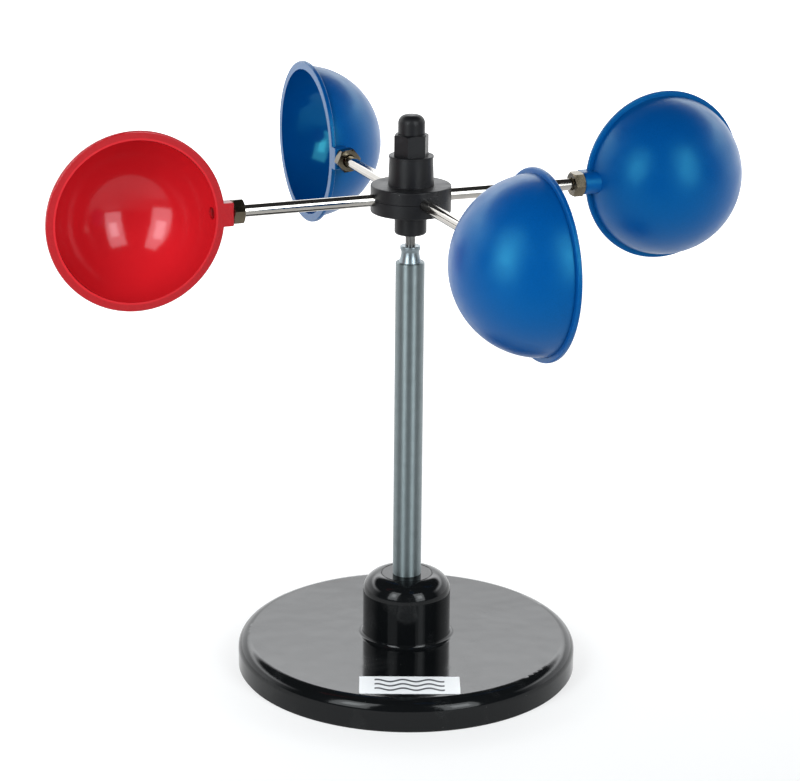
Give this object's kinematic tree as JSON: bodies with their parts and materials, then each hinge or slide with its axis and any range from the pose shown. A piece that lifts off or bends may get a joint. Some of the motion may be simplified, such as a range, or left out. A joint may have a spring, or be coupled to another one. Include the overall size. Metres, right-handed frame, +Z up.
{
  "type": "cup anemometer",
  "caption": "Cup anemometer for a classroom: hemispherical cups on slim metal arms turn on a needle above a straight post and a heavy round base.",
  "frame": {"origin": "centre of the underside of the base, on the rotor's axis", "axes": "+Z up along the post; the arms lie along +X, +Y, -X and -Y, with the red cup on -X; each cup opens the way its arm would move in an anticlockwise turn seen from above; the label on the base is toward -Y and a little toward -X"},
  "size_m": [0.3222, 0.3222, 0.2545],
  "materials": {
    "pad_foam": "matt closed-cell foam sheet",
    "base_black": "glossy black moulding",
    "cover_plastic": "matt black sheet",
    "zinc_steel": "zinc plated",
    "ballast_iron": "rough black casting",
    "post_satin": "satin grey",
    "label_paper": "smooth white sticker",
    "bright_chrome": "bright turned and plated",
    "needle_steel": "hardened and dark",
    "seat_brass": "turned",
    "hub_black": "matt black moulding",
    "nut_plate": "yellow zinc plated",
    "nickel_rod": "polished nickel plate",
    "cup_red": "satin gloss moulding",
    "cup_blue": "satin gloss moulding"
  },
  "bodies": {
    "stand": {"base_pad": "pad_foam", "base_shell": "base_black", "bottom_cover": "cover_plastic", "cover_screws": "zinc_steel", "ballast_ring": "ballast_iron", "post_bushing": "base_black", "post": "post_satin", "post_plug": "zinc_steel", "post_washer": "zinc_steel", "post_bolt": "zinc_steel", "base_label": "label_paper", "pivot_collar": "bright_chrome", "pivot_needle": "needle_steel"},
    "rotor": {"pivot_seat": "seat_brass", "hub_lower": "hub_black", "hub_upper": "hub_black", "hub_cap": "hub_black", "lock_nuts": "nut_plate", "arm_red": "nickel_rod", "arm_blue_1": "nickel_rod", "arm_blue_2": "nickel_rod", "arm_blue_3": "nickel_rod", "cup_red": "cup_red", "cup_blue_1": "cup_blue", "cup_blue_2": "cup_blue", "cup_blue_3": "cup_blue"}
  },
  "joints": [
    {"name": "rotor_spin", "type": "hinge", "parent": "stand", "child": "rotor", "pos_m": [0, 0, 0.2403], "axis": [0, 0, 1], "continuous": true}
  ]
}
